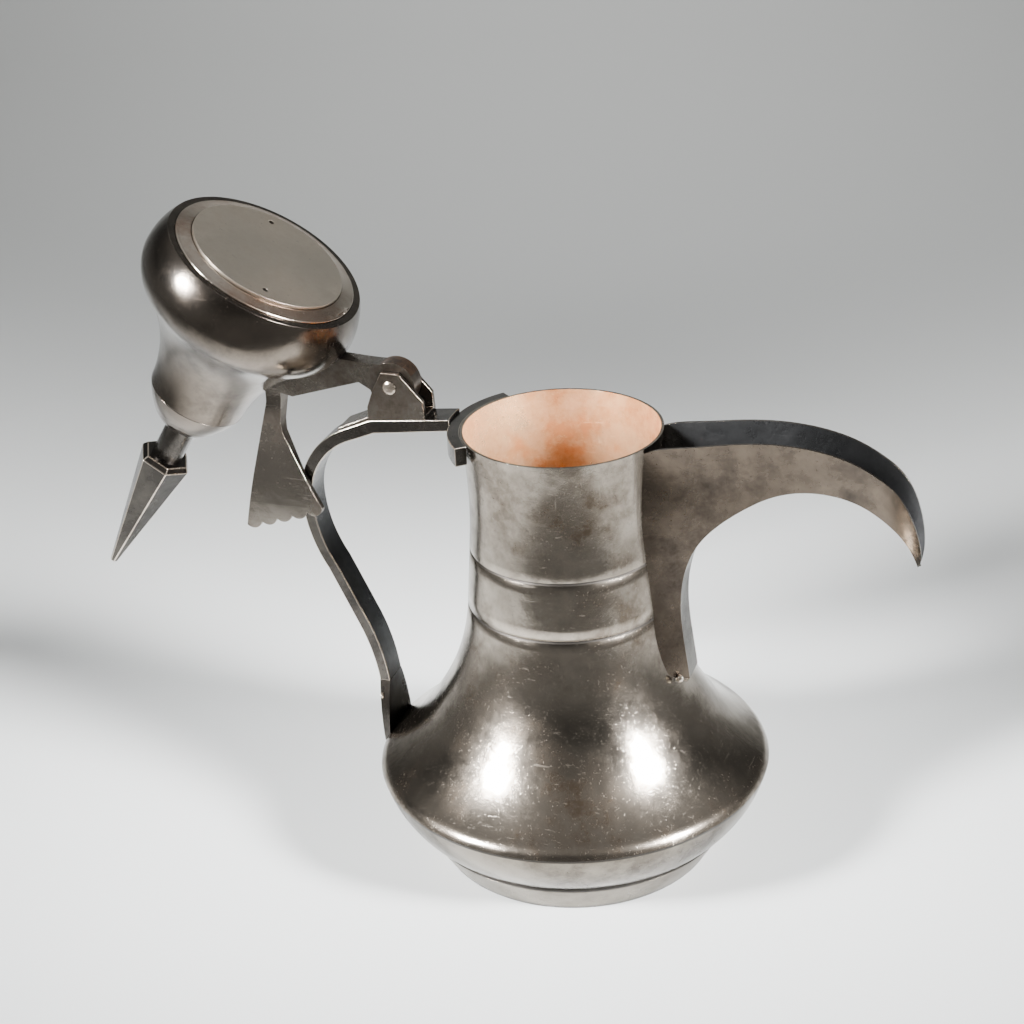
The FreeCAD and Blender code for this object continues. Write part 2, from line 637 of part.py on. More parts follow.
crown_knee = dims.crown_height + dims.crown_knee
crown_top = dims.crown_height + dims.crown_rise
keep(turned("lid_crown", [
    (dims.crown_radius, dims.crown_height, dims.crown_low_curve),
    (dims.crown_neck, crown_knee, dims.crown_high_curve),
    (dims.stem_radius + dims.fit_gap, crown_top, LINE),
    (dims.stem_radius + dims.fit_gap, crown_top - dims.wall, dims.wall - dims.crown_high_curve),
    (dims.crown_neck - dims.wall, crown_knee - slant, dims.wall - dims.crown_low_curve),
    (dims.crown_radius - dims.wall, dims.crown_height, LINE),
]), "lid")

lid_disc = keep(turned("lid_disc", [
    (ZERO, -dims.plug_depth, LINE),
    (dims.disc_radius, -dims.plug_depth, LINE),
    (dims.disc_radius, dims.disc_thickness - dims.plug_depth, LINE),
    (ZERO, dims.disc_thickness - dims.plug_depth, LINE),
]), "lid")
VENTS = 2
vent_sketch = new_sketch(lid_disc, "solder_vents", "XY_Plane")
for number in range(VENTS):
    turn = math.radians(66 + 360 * number / VENTS)
    circle(vent_sketch, dims.vent_circle * math.cos(turn), dims.vent_circle * math.sin(turn),
           dims.vent_radius)
vents = lid_disc.newObject("PartDesign::Pocket", "solder_vents_pocket")
vents.Profile = vent_sketch
vents.Type = "ThroughAll"
vents.Midplane = True

ring_low = dims.wall - dims.plug_depth
ring_high = -dims.plug_depth * 0.25
keep(turned("lid_ring", [
    (dims.disc_radius, ring_low, LINE),
    (plug_radius - dims.wall * 0.6, ring_high, LINE),
    (plug_radius, ring_high, LINE),
    (plug_radius, dims.wall, LINE),
    (plug_radius - dims.wall, dims.wall, LINE),
    (plug_radius - dims.wall, ring_high + dims.wall * 0.9, LINE),
    (dims.disc_radius, ring_low + dims.wall * 0.9, LINE),
]), "lid")

stem_foot = crown_top - dims.stem_root
spike_foot = crown_top + dims.stem_length
keep(turned("finial_stem", [
    (ZERO, stem_foot, LINE),
    (dims.stem_radius, stem_foot, LINE),
    (dims.stem_radius, spike_foot, LINE),
    (ZERO, spike_foot, LINE),
]), "lid")

spike_levels = [
    ("spike_base", dims.spike_radius - dims.spike_tip, spike_foot),
    ("spike_waist", dims.spike_radius, spike_foot + dims.spike_under),
    ("spike_point", dims.spike_tip, spike_foot + dims.spike_length),
]
spike_sections = []
for label, radius, height in spike_levels:
    hexagon = document.addObject("Part::RegularPolygon", label)
    hexagon.Polygon = 6
    hexagon.setExpression("Circumradius", radius.text)
    hexagon.setExpression("Placement.Base.z", height.text)
    spike_sections.append(hexagon)
spike = document.addObject("Part::Loft", "finial_spike")
spike.Sections = spike_sections
spike.Solid = True
spike.Ruled = True
keep(spike, "lid")

lid_mould = turned("lid_mould", [(ZERO, ZERO, LINE)] + dome_outside + [
    (ZERO, dims.crown_height, LINE),
])

seat_height = dims.rim_height + dims.seat_gap
pivot_above = pivot_z - seat_height
knuckle_width = dims.bar_width - dims.ear_thickness * 2 - dims.side_gap * 2
arm = new_body("arm_bar")
padded(arm, "arm_bar", [(pivot_x + dx, pivot_above + dz, LINE) for dx, dz in (
    (4.0, -5.5), (10.6, -1.6), (20.9, 3.7), (34.9, 23.2), (34.6, 26.3),
    (32.4, 26.2), (26.2, 24.1), (16.1, 12.7), (9.8, 5.7), (5.0, 5.6))], knuckle_width)
knuckle = new_sketch(arm, "knuckle")
circle(knuckle, pivot_x, pivot_above, dims.knuckle_radius)
pad_of(arm, "knuckle", knuckle, knuckle_width)
knuckle_bore = new_sketch(arm, "knuckle_bore")
circle(knuckle_bore, pivot_x, pivot_above, dims.pin_radius + dims.running_gap)
pocketed(arm, "knuckle_bore", knuckle_bore, dims.bar_width * 2)
lid_arm = keep(cut("lid_arm", arm, lid_mould), "lid")

# The thumb piece is drawn hanging from its root, seen from the side and from behind.
SCALLOPS = 5
root = dims.thumb_root / 2
low_left = (-dims.thumb_width * 0.41, -dims.thumb_length)
low_right = (dims.thumb_width * 0.55, -dims.thumb_length * 0.81)
front_corners = [
    (-root * 1.2, as_size(4.5), LINE),
    (-root * 1.2, -dims.thumb_length * 0.03, LINE),
    (-dims.thumb_width * 0.24, -dims.thumb_length * 0.46, LINE),
]
for number in range(SCALLOPS):
    share = number / SCALLOPS
    across = low_left[0] * (1 - share) + low_right[0] * share
    down = low_left[1] * (1 - share) + low_right[1] * share
    front_corners.append((across, down, dims.thumb_width / SCALLOPS * 0.56))
front_corners += [
    (low_right[0], low_right[1], LINE),
    (dims.thumb_width * 0.30, -dims.thumb_length * 0.50, LINE),
    (root * 1.05, -dims.thumb_length * 0.25, LINE),
    (root * 0.8, -dims.thumb_length * 0.17, LINE),
    (root, as_size(4.5), LINE),
]
thumb_front = new_body("thumb_front")
padded(thumb_front, "thumb_front", front_corners, dims.thumb_width)
thumb_side = new_body("thumb_side")
side_sketch = new_sketch(thumb_side, "thumb_side_outline", "YZ_Plane")
bend_down = -dims.thumb_length * 0.55
end_down = -dims.thumb_length * 1.15
outline(side_sketch, [
    (-knuckle_width / 2, as_size(4.5), LINE),
    (-knuckle_width / 2, ZERO, LINE),
    (dims.thumb_edge * 0.4 - dims.thumb_offset, bend_down, dims.thumb_length * 2.5),
    (-dims.thumb_edge / 2 - dims.thumb_offset, end_down, LINE),
    (dims.thumb_edge / 2 - dims.thumb_offset, end_down, LINE),
    (dims.thumb_edge * 2.1 - dims.thumb_offset, bend_down, LINE),
    (knuckle_width * 0.42, ZERO, LINE),
    (knuckle_width / 2, as_size(4.5), LINE),
])
pad_of(thumb_side, "thumb_side", side_sketch, dims.thumb_width * 2)
document.recompute()
root_place = Placement(Vector(pivot_x.value + 31.0, 0, pivot_above.value + 28.8),
                       Rotation(Vector(0, 1, 0), dims.thumb_lean.value))
thumb_front.Placement = root_place
thumb_side.Placement = root_place
thumb_sheet = document.addObject("Part::MultiCommon", "thumb_sheet")
thumb_sheet.Shapes = [thumb_front, thumb_side]
moulds = document.addObject("Part::MultiFuse", "lid_and_arm")
moulds.Shapes = [lid_mould, arm]
keep(cut("thumb_piece", thumb_sheet, moulds), "lid")

# ---------------------------------------------------------------- frames and writing
pivot = Vector(pivot_x.value, 0, pivot_z.value)
swing = Placement(pivot, Rotation(Vector(0, 1, 0), -dims.lid_angle.value))
FRAMES = {
    None: Placement(),
    "pin": Placement(pivot, Rotation(Vector(1, 0, 0), -90)),
    "lid": swing * Placement(Vector(0, 0, seat_height.value) - pivot, Rotation()),
}
document.recompute()
for item, group in parts_out:
    item.Label = item.Name
    item.Placement = FRAMES[group]
document.recompute()

for item in document.Objects:
    assert "Invalid" not in item.State and "Error" not in item.State, item.Name
os.makedirs("parts", exist_ok=True)
for item, group in parts_out:
    shape = item.Shape
    assert not shape.isNull() and shape.isValid(), item.Label
    assert len(shape.Solids) == 1, item.Label
    shape.exportStep("parts/%s.step" % item.Label)
    print(item.Label, round(shape.Volume, 1))
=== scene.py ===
"""Dallah coffee pot of tarnished silver plate over copper, lid turned back on its hinge."""
import json
import math
import bmesh
import bpy
from mathutils import Matrix, Vector, noise

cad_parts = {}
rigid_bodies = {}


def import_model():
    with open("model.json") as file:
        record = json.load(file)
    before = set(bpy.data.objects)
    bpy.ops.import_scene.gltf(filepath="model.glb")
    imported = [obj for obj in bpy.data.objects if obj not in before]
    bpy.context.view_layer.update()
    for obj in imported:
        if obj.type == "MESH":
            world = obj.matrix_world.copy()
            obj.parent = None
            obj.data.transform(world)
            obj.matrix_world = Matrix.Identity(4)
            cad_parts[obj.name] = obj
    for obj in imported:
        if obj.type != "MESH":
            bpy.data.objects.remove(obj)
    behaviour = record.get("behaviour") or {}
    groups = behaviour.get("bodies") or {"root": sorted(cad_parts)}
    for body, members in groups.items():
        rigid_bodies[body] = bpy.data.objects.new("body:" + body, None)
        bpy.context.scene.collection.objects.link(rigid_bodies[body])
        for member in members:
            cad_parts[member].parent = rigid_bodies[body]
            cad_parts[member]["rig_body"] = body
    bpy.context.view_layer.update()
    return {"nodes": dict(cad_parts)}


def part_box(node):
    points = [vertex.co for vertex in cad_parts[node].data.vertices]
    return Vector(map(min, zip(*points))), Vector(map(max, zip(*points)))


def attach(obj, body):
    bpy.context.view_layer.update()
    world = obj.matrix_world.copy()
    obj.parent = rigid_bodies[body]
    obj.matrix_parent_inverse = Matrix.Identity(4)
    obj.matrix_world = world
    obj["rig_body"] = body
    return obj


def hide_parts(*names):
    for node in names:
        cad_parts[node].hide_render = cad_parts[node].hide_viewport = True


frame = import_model()
nodes = frame["nodes"]

# ------------------------------------------------------------------ camera
# A 70 mm lens looks down on the pot's broad side, from well above the mouth. The camera and the
# lights are turned by 18 degrees round the pot, so that some of the spout's outside face shows.
camera_data = bpy.data.cameras.new("camera")
camera_data.sensor_width = 36
camera_data.lens = 70.3125
camera_data.clip_start = 0.01
camera = bpy.data.objects.new("camera", camera_data)
bpy.context.scene.collection.objects.link(camera)
yaw, pitch, roll, turn = (math.radians(angle) for angle in (-1.68, 25.35, -3.03, 18.0))
forward = Vector((
    math.sin(yaw) * math.cos(pitch),
    math.cos(yaw) * math.cos(pitch),
    -math.sin(pitch),
))
right = Vector((math.cos(yaw), -math.sin(yaw), 0))
up = right.cross(forward)
tilted_right = right * math.cos(roll) + up * math.sin(roll)
tilted_up = up * math.cos(roll) - right * math.sin(roll)
look = Matrix((tilted_right, tilted_up, -forward)).transposed().to_4x4()
look.translation = Vector((0, -0.57456, 0.39287))
camera.matrix_world = Matrix.Rotation(turn, 4, "Z") @ look
bpy.context.scene.camera = camera

# ------------------------------------------------------------------ floor and light
# A pale sweep of paper that curves up behind the pot, two soft boxes with narrow beams in front,
# a wide lamp for the back of the paper, and a dim grey room round them. The paper's colour is
# painted lighter in a band round the pot and darker towards the front and up the back: a painted
# pool of light and painted shade.
PAPER_WIDTH, PAPER_LENGTH = 2.3, 2.6
PAPER_START, PAPER_FLAT, PAPER_RADIUS, PAPER_ARC = -0.21, 0.95, 0.6, 0.9
bpy.ops.mesh.primitive_grid_add(x_subdivisions=2, y_subdivisions=60, size=1)
floor = bpy.context.object
floor.name = "paper_sweep"
for vertex in floor.data.vertices:
    along = (vertex.co.y + 0.5) * PAPER_LENGTH
    rise = max(along - PAPER_FLAT, 0)
    bend = min(rise, PAPER_ARC)
    vertex.co = Vector((
        vertex.co.x * PAPER_WIDTH,
        PAPER_START + min(along, PAPER_FLAT) + PAPER_RADIUS * math.sin(bend / PAPER_RADIUS),
        PAPER_RADIUS * (1 - math.cos(bend / PAPER_RADIUS)) + max(rise - bend, 0),
    ))
floor.matrix_world = Matrix.Rotation(turn, 4, "Z")
bpy.ops.object.shade_smooth()
paper = bpy.data.materials.new("paper")
paper.use_nodes = True
paper_shader = paper.node_tree.nodes["Principled BSDF"]
paper_place = paper.node_tree.nodes.new("ShaderNodeTexCoord")
paper_split = paper.node_tree.nodes.new("ShaderNodeSeparateXYZ")
paper_painted_light = paper.node_tree.nodes.new("ShaderNodeValToRGB")
paper_depth = paper.node_tree.nodes.new("ShaderNodeMapRange")
paper_depth.inputs["From Min"].default_value = -0.5
paper_depth.inputs["From Max"].default_value = 1.0
# Painted light and shade: the paper's colour is lightest in a band round the pot and darker at the
# front and up the back.
paper_painted_light.color_ramp.elements[0].position = 0.0
paper_painted_light.color_ramp.elements[0].color = (0.60, 0.615, 0.62, 1)
paper_painted_light.color_ramp.elements[1].position = 1.0
paper_painted_light.color_ramp.elements[1].color = (0.60, 0.61, 0.60, 1)
glow = paper_painted_light.color_ramp.elements.new(0.38)
glow.color = (0.84, 0.86, 0.86, 1)
paper.node_tree.links.new(paper_place.outputs["Object"], paper_split.inputs["Vector"])
paper.node_tree.links.new(paper_split.outputs["Y"], paper_depth.inputs["Value"])
paper.node_tree.links.new(paper_depth.outputs["Result"], paper_painted_light.inputs["Fac"])
paper.node_tree.links.new(paper_painted_light.outputs["Color"], paper_shader.inputs["Base Color"])
paper_shader.inputs["Roughness"].default_value = 0.75
floor.data.materials.append(paper)

world = bpy.data.worlds.new("room")
world.use_nodes = True
room = world.node_tree
room_way = room.nodes.new("ShaderNodeTexCoord")
room_split = room.nodes.new("ShaderNodeSeparateXYZ")
room_range = room.nodes.new("ShaderNodeMapRange")
room_range.inputs["From Min"].default_value = -1
room_range.inputs["From Max"].default_value = 1
room_shade = room.nodes.new("ShaderNodeValToRGB")
levels = room_shade.color_ramp.elements
levels[0].position = 0.36
levels[0].color = (0.24, 0.24, 0.235, 1)
levels[1].position = 1.0
levels[1].color = (0.34, 0.345, 0.35, 1)
for position, level in ((0.5, 0.22), (0.66, 0.05), (0.76, 0.11), (0.83, 0.28), (0.92, 0.34)):
    levels.new(position).color = (level, level, level * 0.98, 1)
room.links.new(room_way.outputs["Generated"], room_split.inputs["Vector"])
room.links.new(room_split.outputs["Z"], room_range.inputs["Value"])
room.links.new(room_range.outputs["Result"], room_shade.inputs["Fac"])
room.links.new(room_shade.outputs["Color"], room.nodes["Background"].inputs["Color"])
bpy.context.scene.world = world

for name, place, aim, size, power, spread in (
    ("key_left", (-1.03, -0.53, 0.72), (0.14, 0.06, 0.0), 0.36, 2.0, 22),
    ("key_right", (0.92, -0.60, 0.68), (-0.15, 0.08, 0.0), 0.34, 1.9, 22),
    ("paper_glow", (0.0, 0.35, 1.05), (0.05, 1.0, 0.25), 0.5, 3.2, 100),
):
    lamp_data = bpy.data.lights.new(name, "AREA")
    lamp_data.shape = "DISK"
    lamp_data.size = size
    lamp_data.energy = power
    lamp_data.spread = math.radians(spread)
    lamp = bpy.data.objects.new(name, lamp_data)
    bpy.context.scene.collection.objects.link(lamp)
    place = Matrix.Rotation(turn, 4, "Z") @ Vector(place)
    aim = Matrix.Rotation(turn, 4, "Z") @ Vector(aim)
    facing = (aim - place).to_track_quat("-Z", "Y").to_matrix().to_4x4()
    lamp.matrix_world = Matrix.Translation(place) @ facing

# ------------------------------------------------------------------ tarnish and painted shade
# Old silver plate goes brown in clouds, with fine scratches from cleaning and small pits, and an
# ambient occlusion term paints shade into every seam and crevice. One shader group gives all of this
# to every metal of the pot.
SHADE_REACH = 0.0022
SEAM_DIRT = (0.03, 0.026, 0.022, 1)
COAT_ROUGHNESS = 0.22
tarnish_and_shade = bpy.data.node_groups.new("TarnishAndShade", "ShaderNodeTree")
for name, kind, default in (
    ("Clean", "NodeSocketColor", (0.62, 0.59, 0.55, 1)),
    ("Stain", "NodeSocketColor", (0.33, 0.28, 0.23, 1)),
    ("Dark", "NodeSocketColor", (0.045, 0.042, 0.04, 1)),
    ("Cloudiness", "NodeSocketFloat", 0.5),
    ("Gloss", "NodeSocketFloat", 0.22),
    ("Scratches", "NodeSocketFloat", 0.5),
):
    socket = tarnish_and_shade.interface.new_socket(name, in_out="INPUT", socket_type=kind)
    socket.default_value = default
for name, kind in (
    ("Color", "NodeSocketColor"),
    ("Roughness", "NodeSocketFloat"),
    ("Normal", "NodeSocketVector"),
):
    tarnish_and_shade.interface.new_socket(name, in_out="OUTPUT", socket_type=kind)
add = tarnish_and_shade.nodes.new
join = tarnish_and_shade.links.new
given = add("NodeGroupInput")
result = add("NodeGroupOutput")
coordinates = add("ShaderNodeTexCoord")


def clouds(scale, detail, rough, low, high, stretch=(1, 1, 1), spin=(0, 0, 0)):
    """Noise of that scale, spread to 0..1 between two levels."""
    mapping = add("ShaderNodeMapping")
    mapping.inputs["Scale"].default_value = stretch
    mapping.inputs["Rotation"].default_value = spin
    join(coordinates.outputs["Object"], mapping.inputs["Vector"])
    grain = add("ShaderNodeTexNoise")
    grain.inputs["Scale"].default_value = scale
    grain.inputs["Detail"].default_value = detail
    grain.inputs["Roughness"].default_value = rough
    join(mapping.outputs["Vector"], grain.inputs["Vector"])
    spread = add("ShaderNodeMapRange")
    spread.inputs["From Min"].default_value = low
    spread.inputs["From Max"].default_value = high
    join(grain.outputs["Fac"], spread.inputs["Value"])
    return spread.outputs["Result"]


def combine(operation, first, second):
    """A maths node on two sockets or numbers."""
    maths = add("ShaderNodeMath")
    maths.operation = operation
    for place, value in enumerate((first, second)):
        if isinstance(value, (int, float)):
            maths.inputs[place].default_value = value
        else:
            join(value, maths.inputs[place])
    return maths.outputs[0]


def tint(amount, first, second):
    """Mixes two colours."""
    mixer = add("ShaderNodeMix")
    mixer.data_type = "RGBA"
    join(amount, mixer.inputs["Factor"])
    join(first, mixer.inputs[6])
    join(second, mixer.inputs[7])
    return mixer.outputs[2]


broad = clouds(26, 7, 0.66, 0.44, 0.60)
mottle = clouds(90, 8, 0.70, 0.46, 0.66)
speckle = clouds(520, 4, 0.7, 0.62, 0.74)
patches = combine("ADD", combine("MULTIPLY", broad, 0.75), combine("MULTIPLY", mottle, 0.45))
patches = combine("MULTIPLY", patches, given.outputs["Cloudiness"])
hairs = combine("MAXIMUM",
                clouds(60, 3, 0.5, 0.66, 0.70, (1.2, 22, 22), (0.3, 0.5, 0.4)),
                clouds(60, 3, 0.5, 0.66, 0.70, (22, 1.2, 22), (0.7, 0.2, 1.1)))
hairs = combine("MAXIMUM", hairs, clouds(48, 3, 0.5, 0.68, 0.72, (26, 26, 1.0), (0.9, -0.6, 0.2)))
hairs = combine("MULTIPLY", hairs, given.outputs["Scratches"])
# Painted shade: ambient occlusion darkens every seam, crevice and recess towards the dark colour.
occlusion_shade = add("ShaderNodeAmbientOcclusion")
occlusion_shade.inputs["Distance"].default_value = SHADE_REACH
occlusion_shade.samples = 6
crevice_shade = add("ShaderNodeMapRange")
crevice_shade.inputs["From Min"].default_value = 0.85
crevice_shade.inputs["From Max"].default_value = 0.35
join(occlusion_shade.outputs["AO"], crevice_shade.inputs["Value"])
colour = tint(patches, given.outputs["Clean"], given.outputs["Stain"])
colour = tint(combine("MULTIPLY", speckle, 0.35), colour, given.outputs["Dark"])
colour = tint(combine("MULTIPLY", crevice_shade.outputs["Result"], 0.85), colour, given.outputs["Dark"])
colour = tint(combine("MULTIPLY", hairs, 0.35), colour, given.outputs["Clean"])
join(colour, result.inputs["Color"])
roughness = combine("ADD", given.outputs["Gloss"], combine("MULTIPLY", patches, 0.16))
roughness = combine("ADD", roughness, combine("MULTIPLY", speckle, 0.12))
join(combine("ADD", roughness, combine("MULTIPLY", hairs, 0.12)), result.inputs["Roughness"])
dents = clouds(38, 3, 0.5, 0.3, 0.7)
relief = combine("ADD", combine("MULTIPLY", dents, 0.9), combine("MULTIPLY", mottle, 0.10))
relief = combine("SUBTRACT", relief, combine("MULTIPLY", hairs, 0.05))
bump = add("ShaderNodeBump")
bump.inputs["Strength"].default_value = 0.35
bump.inputs["Distance"].default_value = 0.0006
join(relief, bump.inputs["Height"])
join(bump.outputs["Normal"], result.inputs["Normal"])


def plate(name, clean, stain, cloudiness=0.6, gloss=0.24, scratches=0.5,
          metallic=1.0, coat=0.0, mark=None):
    """A metal with the tarnish and painted shade group. mark is the height and half width of a line
    of dirt.
    """
    material = bpy.data.materials.new(name)
    material.use_nodes = True
    tree = material.node_tree
    shader = tree.nodes["Principled BSDF"]
    shader.inputs["Metallic"].default_value = metallic
    shader.inputs["Coat Weight"].default_value = coat
    shader.inputs["Coat Roughness"].default_value = COAT_ROUGHNESS
    group = tree.nodes.new("ShaderNodeGroup")
    group.node_tree = tarnish_and_shade
    group.inputs["Clean"].default_value = (*clean, 1)
    group.inputs["Stain"].default_value = (*stain, 1)
    group.inputs["Cloudiness"].default_value = cloudiness
    group.inputs["Gloss"].default_value = gloss
    group.inputs["Scratches"].default_value = scratches
    colour_out = group.outputs["Color"]
    if mark:
        where = tree.nodes.new("ShaderNodeTexCoord")
        split = tree.nodes.new("ShaderNodeSeparateXYZ")
        near = tree.nodes.new("ShaderNodeMath")
        near.operation = "COMPARE"
        near.inputs[1].default_value, near.inputs[2].default_value = mark
        line = tree.nodes.new("ShaderNodeMix")
        line.data_type = "RGBA"
        line.inputs[7].default_value = SEAM_DIRT
        tree.links.new(where.outputs["Object"], split.inputs["Vector"])
        tree.links.new(split.outputs["Z"], near.inputs[0])
        tree.links.new(near.outputs[0], line.inputs["Factor"])
        tree.links.new(colour_out, line.inputs[6])
        colour_out = line.outputs[2]
    tree.links.new(colour_out, shader.inputs["Base Color"])
    tree.links.new(group.outputs["Roughness"], shader.inputs["Roughness"])
    tree.links.new(group.outputs["Normal"], shader.inputs["Normal"])
    return material


# ------------------------------------------------------------------ dressing
# Each piece is a merged copy of its CAD node. Most sharp edges are softened, as files and polish
# leave them, and the faces are sorted by the metal that they show.
def dress(name, metals, sort=None, edge=0.00022, flat=False, sharp=32.0):
    """A detailed copy of a node. sort(centre, normal) gives the number of a face's metal."""
    source = nodes[name]
    mesh = source.data.copy()
    mesh.materials.clear()
    piece = bpy.data.objects.new(name + "_fine", mesh)
    bpy.context.scene.collection.objects.link(piece)
    shell = bmesh.new()
    shell.from_mesh(mesh)
    bmesh.ops.remove_doubles(shell, verts=shell.verts, dist=2e-6)
    if flat:
        flatness = math.radians(0.6)
        bmesh.ops.dissolve_limit(shell, angle_limit=flatness, verts=shell.verts, edges=shell.edges)
    shell.normal_update()
    if sort:
        for face in shell.faces:
            face.material_index = sort(face.calc_center_median(), face.normal)
    shell.to_mesh(mesh)
    shell.free()
    for metal in metals:
        mesh.materials.append(metal)
    bpy.ops.object.select_all(action="DESELECT")
    piece.select_set(True)
    bpy.context.view_layer.objects.active = piece
    bpy.ops.object.shade_smooth_by_angle(angle=math.radians(sharp))
    if edge:
        bevel = piece.modifiers.new("worn_edge", "BEVEL")
        bevel.width = edge
        bevel.segments = 2
        bevel.limit_method = "ANGLE"
        bevel.angle_limit = math.radians(sharp)
        bevel.use_clamp_overlap = True
        bevel.harden_normals = True
        if len(metals) > 1 and metals[-1] is bright_edge:
            bevel.material = len(metals) - 1
        bpy.ops.object.modifier_apply(modifier="worn_edge")
    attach(piece, source["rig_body"])
    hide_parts(name)
    return piece


# Corners and rubbed edges are bare and light on every fitting.
bright_edge = plate("bright_edge", (0.72, 0.64, 0.55), (0.30, 0.23, 0.17), 0.7, 0.16, 0.3)

# ------------------------------------------------------------------ foot and base
# The flared foot is a thick plated band that mirrors the table. A bead wire covers its joint with
# the bowl and is coloured near black all over, painted shade of the groove it lies in, and the flat
# base is brazed on the bowl's flange, copper on its upper side.
foot_metal = plate("foot_plate", (0.205, 0.18, 0.142), (0.08, 0.063, 0.046), 0.75, 0.24, 0.5)
dull_silver = plate("dull_silver", (0.78, 0.70, 0.59), (0.52, 0.43, 0.34), 0.6, 0.28, 0.3)
copper = plate("worn_copper", (1.0, 0.74, 0.46), (0.64, 0.29, 0.12), 1.0, 0.25, 0.9, metallic=0.8)
# Painted shade: a near black used for the bead wire and for the slopes of the scribed grooves.
groove_shade = plate("groove_shade", (0.05, 0.045, 0.04), (0.02, 0.018, 0.016), 0.8, 0.45, 0.1)


def hollow_inside(centre, normal):
    """1 on the faces that look towards the pot's axis."""
    return 1 if centre.x * normal.x + centre.y * normal.y < -0.002 else 0


def looks_up(centre, normal):
    """1 on the faces that look up."""
    return 1 if normal.z > 0.5 else 0


dress("foot_ring", (foot_metal, dull_silver), hollow_inside)
dress("foot_wire", (groove_shade,))
dress("base_plate", (dull_silver, copper), looks_up)

# ------------------------------------------------------------------ bowl, shoulder and neck
# Raised sheet, plated outside and worn to the copper inside. Bowl and shoulder are brazed together
# at the girth, where a thin line of dirt stays, and two grooves are scribed round the neck. The
# slopes of the grooves are coloured near black, as painted shade.
SEAM_LINE = (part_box("lower_bowl")[1][2], 0.0009)
GROOVES = (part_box("neck_band")[0][2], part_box("neck_band")[1][2])
GROOVE_HALF_WIDTH = 0.0005
bowl_metal = plate(
    "bowl_plate", (0.235, 0.208, 0.17), (0.062, 0.049, 0.037),
    0.9, 0.14, 0.5, mark=SEAM_LINE,
)
silver = plate("tarnished_silver", (0.42, 0.37, 0.31), (0.105, 0.08, 0.058), 0.9, 0.14, 0.6)


def grooved(centre, normal):
    """1 inside, 2 on the slopes of the two scribed grooves, which get the painted groove shade."""
    if hollow_inside(centre, normal):
        return 1
    near = min(abs(centre.z - height) for height in GROOVES)
    return 2 if near < GROOVE_HALF_WIDTH and abs(normal.z) > 0.3 else 0


dress("lower_bowl", (bowl_metal, copper), hollow_inside, 0)
dress("shoulder", (silver, copper, groove_shade), grooved, 0)
dress("neck_band", (silver, copper, groove_shade), grooved, 0)
dress("neck_tube", (silver, copper, groove_shade, bright_edge), grooved, 0.00016)

# ------------------------------------------------------------------ collar, handle and hinge bracket
# One flat bar makes arm and grip. It is brazed to a collar round the back of the mouth and, by a
# spread foot, to the shoulder. The side that faces the neck is coloured near black, as painted
# shade, and the corners are bright.
dark_silver = plate(
    "dark_fitting", (0.085, 0.075, 0.063), (0.022, 0.018, 0.015),
    0.95, 0.18, 0.4, coat=0.45,
)
# Near black sheet: painted shade on the handle's side towards the neck, and the colour inside the
# spout's trough.
black_sheet = plate("near_black_sheet", (0.07, 0.071, 0.073), (0.022, 0.022, 0.022), 0.8, 0.26, 0.2)
hinge_metal = plate("worn_hinge_metal", (0.27, 0.24, 0.205), (0.085, 0.068, 0.054), 0.9, 0.2, 0.4)


def towards_neck(centre, normal):
    """1 on the faces of the bar that look forward, towards the neck, which are painted near black as
    shade.
    """
    return 1 if normal.x > 0.35 and abs(normal.y) < 0.5 else 0


dress("rim_collar", (dark_silver, bright_edge), None, 0.0003, True)
dress("handle", (dark_silver, black_sheet, bright_edge), towards_neck,
      0.0003, True)
dress("handle_foot", (dark_silver, black_sheet, bright_edge), towards_neck,
      0.00025, True)
dress("hinge_bracket", (hinge_metal, bright_edge), None, 0.0002, True)
dress("hinge_pin", (bright_edge,), None, 0.0002)

# ------------------------------------------------------------------ solder beads
# Three small lumps of bright solder stand proud where the foot of the handle and the toe of the
# spout were joined to the shoulder.
LUMPINESS = 0.16
foot_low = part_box("handle_foot")[0]
toe_low, toe_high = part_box("spout_toe")
for number, (place, size) in enumerate((
    ((foot_low[0] + 0.0012, -0.0068, foot_low[2] + 0.0155), (0.0008, 0.0010, 0.0012)),
    ((toe_low[0] + 0.0030, toe_low[1] + 0.0010, toe_high[2] - 0.0006), (0.0012, 0.0011, 0.0013)),
    ((toe_low[0] + 0.0030, toe_high[1] - 0.0010, toe_high[2] - 0.0006), (0.0011, 0.0010, 0.0012)),
)):
    bpy.ops.mesh.primitive_ico_sphere_add(subdivisions=4, radius=1)
    bead = bpy.context.object
    bead.name = "solder_bead_%d" % number
    for vertex in bead.data.vertices:
        lump = 1 + LUMPINESS * noise.noise(vertex.co * 1.7 + Vector((number * 5, 0, 0)))
        vertex.co = Vector(place) + Vector(vertex.co[k] * size[k] * lump for k in range(3))
    bpy.ops.object.shade_smooth()
    bead.data.materials.append(bright_edge)
    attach(bead, "pot")

# ------------------------------------------------------------------ spout
# Two cheeks and a sole of sheet, brazed along their edges into an open beak, with a cap at the toe.
# The faces inside the trough are coloured near black, and the cut edge of the sheet shows as a thin
# bright line.
spout_plate = plate(
    "spout_plate", (0.108, 0.083, 0.061), (0.030, 0.022, 0.016),
    0.95, 0.2, 0.4, coat=0.3,
)
sole_metal = plate("spout_sole_plate", (0.12, 0.11, 0.095), (0.04, 0.034, 0.028), 0.9, 0.2, 0.4)


def trough_inside(centre, normal):
    """1 on the faces that look into the trough."""
    return 1 if centre.y * normal.y < -0.0008 else 0


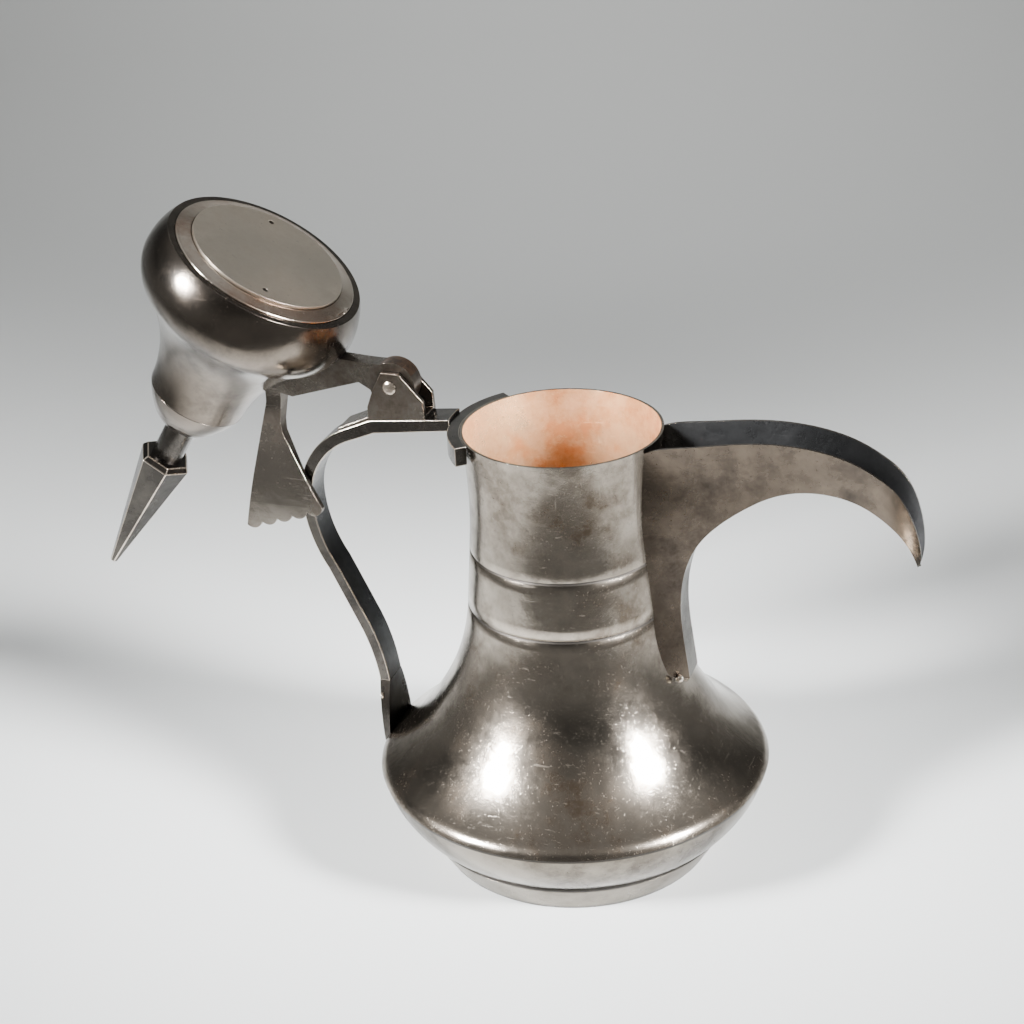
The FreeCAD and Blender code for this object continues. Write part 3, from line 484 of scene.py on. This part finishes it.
def sole_inside(centre, normal):
    """1 on the sole's upper side, the bed of the trough."""
    return 1 if normal.z - 0.35 * normal.x > 0.15 else 0


for side in ("left", "right"):
    dress("spout_cheek_" + side, (spout_plate, black_sheet, bright_edge),
          trough_inside, 0.00022)
dress("spout_sole", (sole_metal, black_sheet), sole_inside, 0.0001)
dress("spout_toe", (spout_plate,), None, 0.0003, True)

# ------------------------------------------------------------------ lid
# A hollow lid of two raised sheets, bulge and crown, with a seam between them. Its plug is a matt
# disc in a stepped ring, polished by the mouth until the copper tints it.
brown_silver = plate(
    "browned_silver", (0.17, 0.14, 0.112), (0.035, 0.027, 0.021),
    1.0, 0.13, 0.5, coat=0.4,
)
step_metal = plate("bright_step", (0.82, 0.73, 0.63), (0.42, 0.26, 0.18), 0.85, 0.11, 0.4)

dress("lid_dome", (brown_silver,), None, 0.0002)
dress("lid_crown", (brown_silver,), None, 0.00015)
dress("lid_disc", (dull_silver,), None, 0.0004, True)
dress("lid_ring", (step_metal,), None, 0.0006)

# ------------------------------------------------------------------ finial
# A round stem in the crown carries a solid six-sided spike, filed to a blunt point, with worn
# corners. Both are as dark as the handle.
dress("finial_stem", (dark_silver,), None, 0.0003)
dress("finial_spike", (dark_silver, bright_edge), None, 0.0003, True)

# ------------------------------------------------------------------ lid arm and thumb piece
# The arm is brazed to the lid and ends in a knuckle on the pin. Hands have rubbed the top of the
# knuckle down to the copper. The thumb piece is flat sheet with a scalloped end.
rubbed_copper = plate("rubbed_copper", (0.56, 0.33, 0.21), (0.10, 0.075, 0.058), 1.0, 0.2, 0.6)
KNUCKLE_REACH = 0.0081
pin_low, pin_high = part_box("hinge_pin")
pin_place = (Vector(pin_low) + Vector(pin_high)) / 2


def rubbed_knuckle(centre, normal):
    """1 on top of the knuckle, where thumbs have rubbed through to the copper."""
    reach = centre - pin_place
    return 1 if normal.z > 0.45 and math.hypot(reach.x, reach.z) < KNUCKLE_REACH else 0


dress("lid_arm", (hinge_metal, rubbed_copper, bright_edge), rubbed_knuckle,
      0.0003, True)
dress("thumb_piece", (hinge_metal, bright_edge), None, 0.0002, True)
